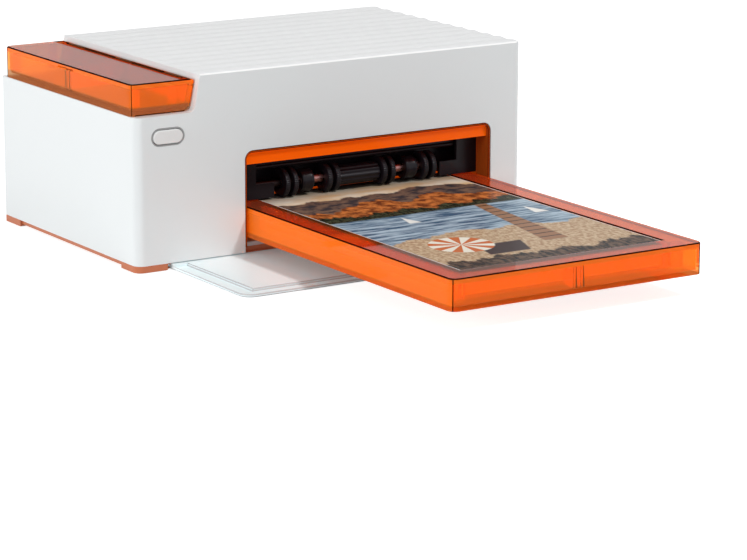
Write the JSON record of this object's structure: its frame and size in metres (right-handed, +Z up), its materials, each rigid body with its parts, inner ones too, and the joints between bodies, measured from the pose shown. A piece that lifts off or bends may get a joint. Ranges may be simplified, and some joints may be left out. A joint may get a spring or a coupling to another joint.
{
  "type": "compact photo printer",
  "caption": "Compact photo printer with an amber paper cassette in its front, a print on the cassette, an amber lidded storage box and a slide-out rest plate.",
  "frame": {"origin": "on the table, under the middle of the box around the body and the cassette together", "axes": "+Z up, +Y from the cassette's front end towards the back of the body, +X to the right as seen from the front"},
  "size_m": [0.198, 0.282, 0.0834],
  "materials": {
    "white_gloss": "glossy",
    "white_ribbed": "satin, ribbed",
    "amber_clear": "glossy, see-through",
    "terracotta": "satin",
    "foot_rubber": "matt",
    "pale_floor": "satin",
    "ring_grey": "satin",
    "button_white": "glossy",
    "dark_plastic": "satin",
    "sheet_steel": "satin",
    "shaft_steel": "polished",
    "roller_rubber": "satin",
    "gear_plastic": "satin",
    "brass": "satin",
    "motor_steel": "satin",
    "sink_aluminium": "satin",
    "head_ceramic": "matt",
    "cartridge_plastic": "satin",
    "ribbon_dark": "satin",
    "ribbon_used": "satin",
    "ribbon_clear": "glossy, see-through",
    "board_green": "satin",
    "chip_black": "matt",
    "paper_white": "matt",
    "print_gloss": "glossy, printed",
    "plate_white": "glossy"
  },
  "bodies": {
    "printer": {"main_case": "white_gloss", "top_panel": "white_ribbed", "rear_panel": "white_ribbed", "base_plate": "terracotta", "corner_feet": "terracotta", "rubber_pads": "foot_rubber", "front_lining": "amber_clear", "bay_floor": "pale_floor", "button_ring": "ring_grey", "tact_switch": "chip_black", "switch_bracket": "board_green", "storage_tray": "amber_clear", "storage_hinge_pin": "shaft_steel", "left_frame": "sheet_steel", "right_frame": "sheet_steel", "top_chassis": "sheet_steel", "upper_guide": "dark_plastic", "paper_chute": "dark_plastic", "idler_stud": "shaft_steel", "drive_motor": "motor_steel", "motor_mount": "sheet_steel", "print_head": "head_ceramic", "head_heatsink": "sink_aluminium", "ribbon_cartridge": "cartridge_plastic", "ribbon_film": "ribbon_clear", "fan_frame": "dark_plastic", "main_board": "board_green", "board_chips": "chip_black", "board_standoffs": "brass", "power_jack": "chip_black", "usb_port": "shaft_steel", "case_screws": "shaft_steel", "door_hinge_pin": "shaft_steel"},
    "button": {"power_button": "button_white"},
    "storage_lid": {"storage_lid": "amber_clear"},
    "feed": {"feed_shaft": "shaft_steel", "eject_discs": "roller_rubber", "central_roller": "roller_rubber", "grip_wheels": "roller_rubber", "feed_gear": "gear_plastic"},
    "platen": {"platen_shaft": "shaft_steel", "platen_roller": "roller_rubber", "platen_gear": "gear_plastic"},
    "idler": {"idler_gear": "gear_plastic"},
    "motor": {"motor_pinion": "brass", "motor_shaft": "shaft_steel"},
    "supply": {"supply_spool": "ribbon_dark"},
    "takeup": {"takeup_spool": "ribbon_used"},
    "fan": {"fan_rotor": "dark_plastic"},
    "cassette": {"cassette_tray": "amber_clear", "cassette_lid": "amber_clear", "paper_stack": "paper_white", "lift_plate": "sheet_steel"},
    "print": {"photo_print": "print_gloss"},
    "rest": {"rest_plate": "plate_white"},
    "door": {"ribbon_door": "white_gloss"}
  },
  "joints": [
    {"name": "button_press", "type": "slide", "parent": "printer", "child": "button", "axis": [0, 1, 0], "range_m": [0, 0.001], "stiffness_N_per_m": 600},
    {"name": "storage_lid_hinge", "type": "hinge", "parent": "printer", "child": "storage_lid", "pos_m": [-0.06989, 0.07875, 0.0798], "axis": [0, 1, 0], "range_deg": [0, 95]},
    {"name": "cassette_slide", "type": "slide", "parent": "printer", "child": "cassette", "axis": [0, -1, 0], "range_m": [0, 0.06]},
    {"name": "print_slide", "type": "slide", "parent": "cassette", "child": "print", "axis": [0, 1, 0], "range_m": [0, 0.03]},
    {"name": "rest_plate_slide", "type": "slide", "parent": "printer", "child": "rest", "axis": [0, 1, 0], "range_m": [0, 0.058]},
    {"name": "ribbon_door_hinge", "type": "hinge", "parent": "printer", "child": "door", "pos_m": [0.0976, 0.079, 0.0294], "axis": [0, 1, 0], "range_deg": [0, 90]},
    {"name": "platen_spin", "type": "hinge", "parent": "printer", "child": "platen", "pos_m": [0.0183, 0.078, 0.034], "axis": [1, 0, 0], "continuous": true},
    {"name": "feed_spin", "type": "hinge", "parent": "printer", "child": "feed", "pos_m": [0.0183, 0.0288, 0.02925], "axis": [1, 0, 0], "continuous": true},
    {"name": "idler_spin", "type": "hinge", "parent": "printer", "child": "idler", "pos_m": [-0.054, 0.05127, 0.04233], "axis": [1, 0, 0], "continuous": true},
    {"name": "motor_spin", "type": "hinge", "parent": "printer", "child": "motor", "pos_m": [-0.054, 0.09345, 0.03814], "axis": [1, 0, 0], "continuous": true},
    {"name": "supply_spin", "type": "hinge", "parent": "printer", "child": "supply", "pos_m": [0.0183, 0.099, 0.0494], "axis": [1, 0, 0], "continuous": true},
    {"name": "takeup_spin", "type": "hinge", "parent": "printer", "child": "takeup", "pos_m": [0.0183, 0.057, 0.0494], "axis": [1, 0, 0], "continuous": true},
    {"name": "fan_spin", "type": "hinge", "parent": "printer", "child": "fan", "pos_m": [0.0634, 0.132, 0.0405], "axis": [0, 1, 0], "continuous": true}
  ],
  "couplings": [
    {"joint": "motor_spin", "follows": "platen_spin", "ratio": -1.6667},
    {"joint": "idler_spin", "follows": "platen_spin", "ratio": -0.55556},
    {"joint": "feed_spin", "follows": "platen_spin", "ratio": 1.25}
  ]
}
